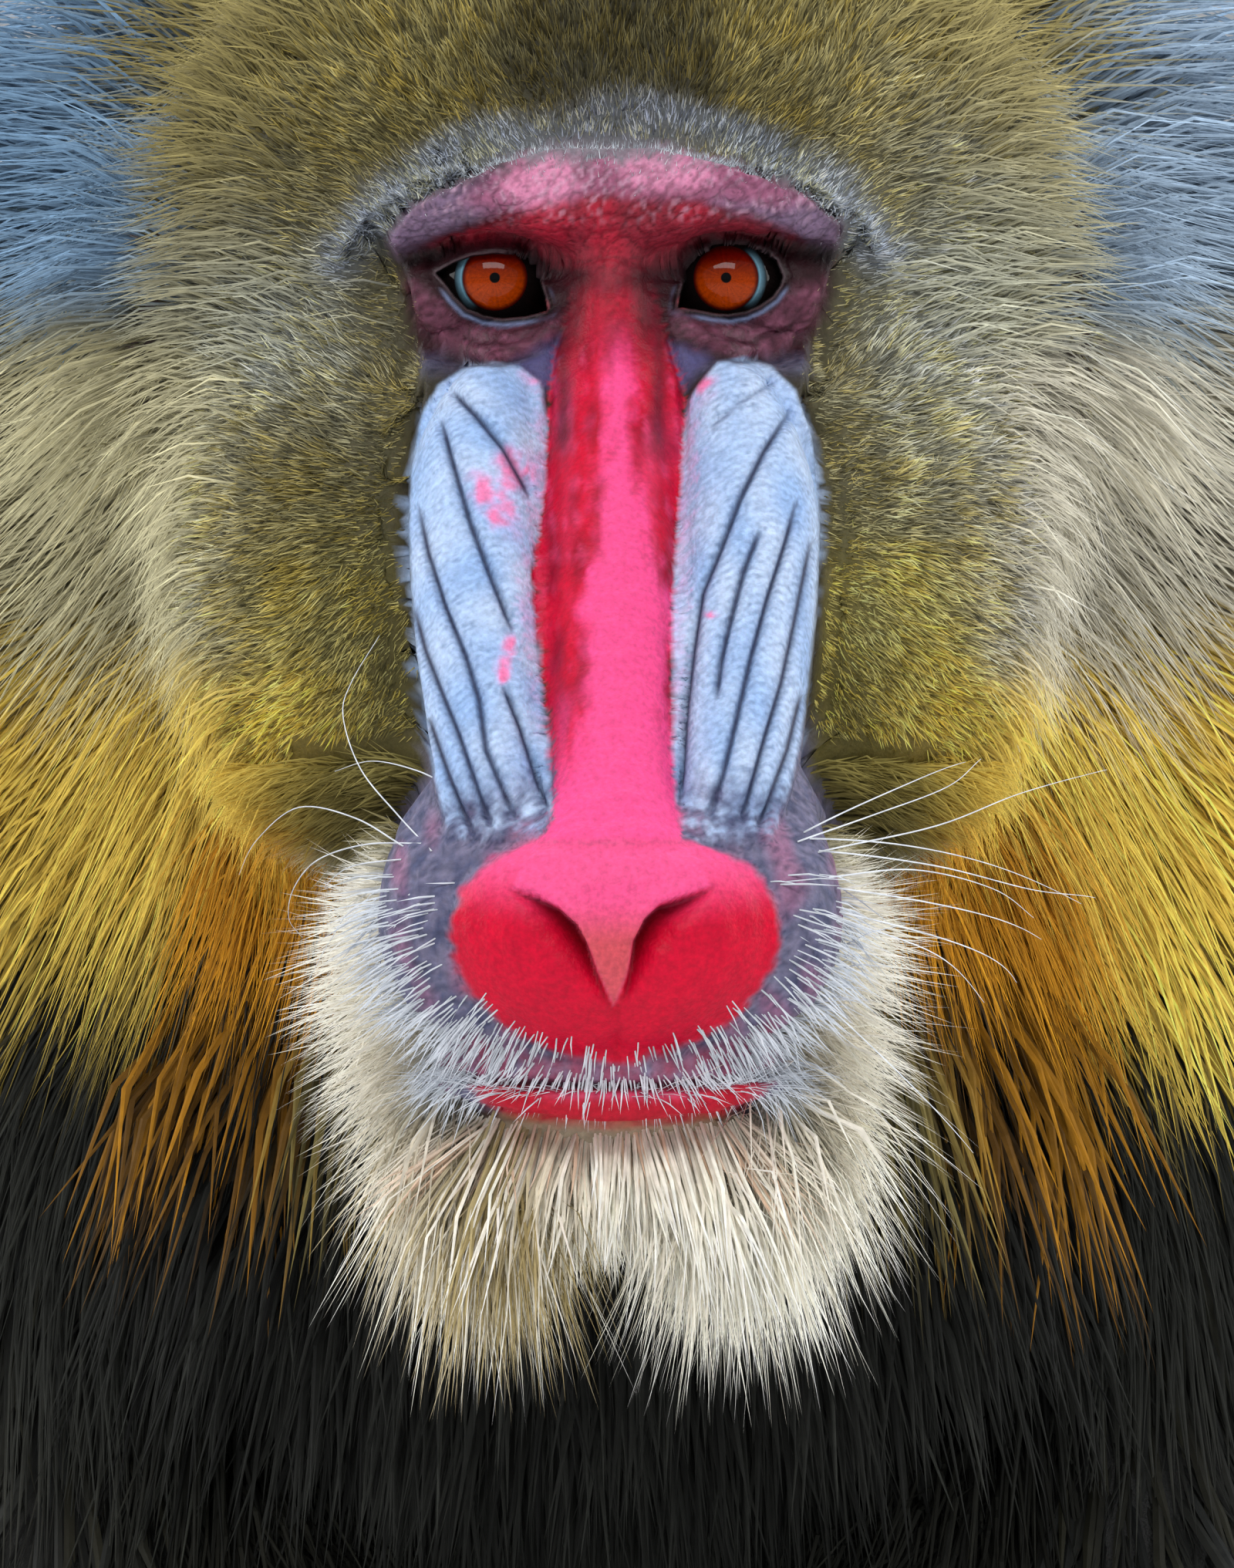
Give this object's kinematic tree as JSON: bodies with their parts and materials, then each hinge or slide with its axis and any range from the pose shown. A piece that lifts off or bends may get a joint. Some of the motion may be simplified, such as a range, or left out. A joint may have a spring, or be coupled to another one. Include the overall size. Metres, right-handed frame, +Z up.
{
  "type": "mandrill",
  "caption": "Life-size adult male mandrill standing on all fours with its head lowered, with a fluted blue and red muzzle, a pale pointed beard, an olive mane and a short tail",
  "frame": {"origin": "on the floor under the middle of the bounding box", "axes": "+Z up, the animal faces -Y, its left side is +X, and its length runs along Y"},
  "size_m": [0.3728, 0.9444, 0.6313],
  "materials": {
    "coat_olive": "coarse olive fur banded with yellow",
    "coat_grey": "grey-brown fur",
    "coat_dark": "short dark brown fur",
    "beard_pale": "long cream hair",
    "skin_slate": "dark bare skin",
    "skin_blue": "fluted pale blue skin",
    "skin_red": "moist scarlet skin",
    "skin_dark": "near-black bare skin",
    "skin_ear": "bare pink-brown skin",
    "skin_violet": "bare violet-pink skin",
    "eye_amber": "wet and glossy"
  },
  "bodies": {
    "root": {"head": "coat_olive", "neck": "coat_olive", "tail": "coat_olive", "upper_arm_left": "coat_olive", "upper_arm_right": "coat_olive", "torso": "coat_grey", "rump": "coat_grey", "thigh_left": "coat_grey", "thigh_right": "coat_grey", "forearm_left": "coat_dark", "forearm_right": "coat_dark", "shank_left": "coat_dark", "shank_right": "coat_dark", "lower_jaw": "beard_pale", "muzzle": "skin_slate", "nasal_ridge_left": "skin_blue", "nasal_ridge_right": "skin_blue", "nose": "skin_red", "nose_bridge": "skin_red", "hand_left": "skin_dark", "hand_right": "skin_dark", "foot_left": "skin_dark", "foot_right": "skin_dark", "ear_left": "skin_ear", "ear_right": "skin_ear", "callosity_left": "skin_violet", "callosity_right": "skin_violet", "eye_left": "eye_amber", "eye_right": "eye_amber"}
  },
  "joints": []
}
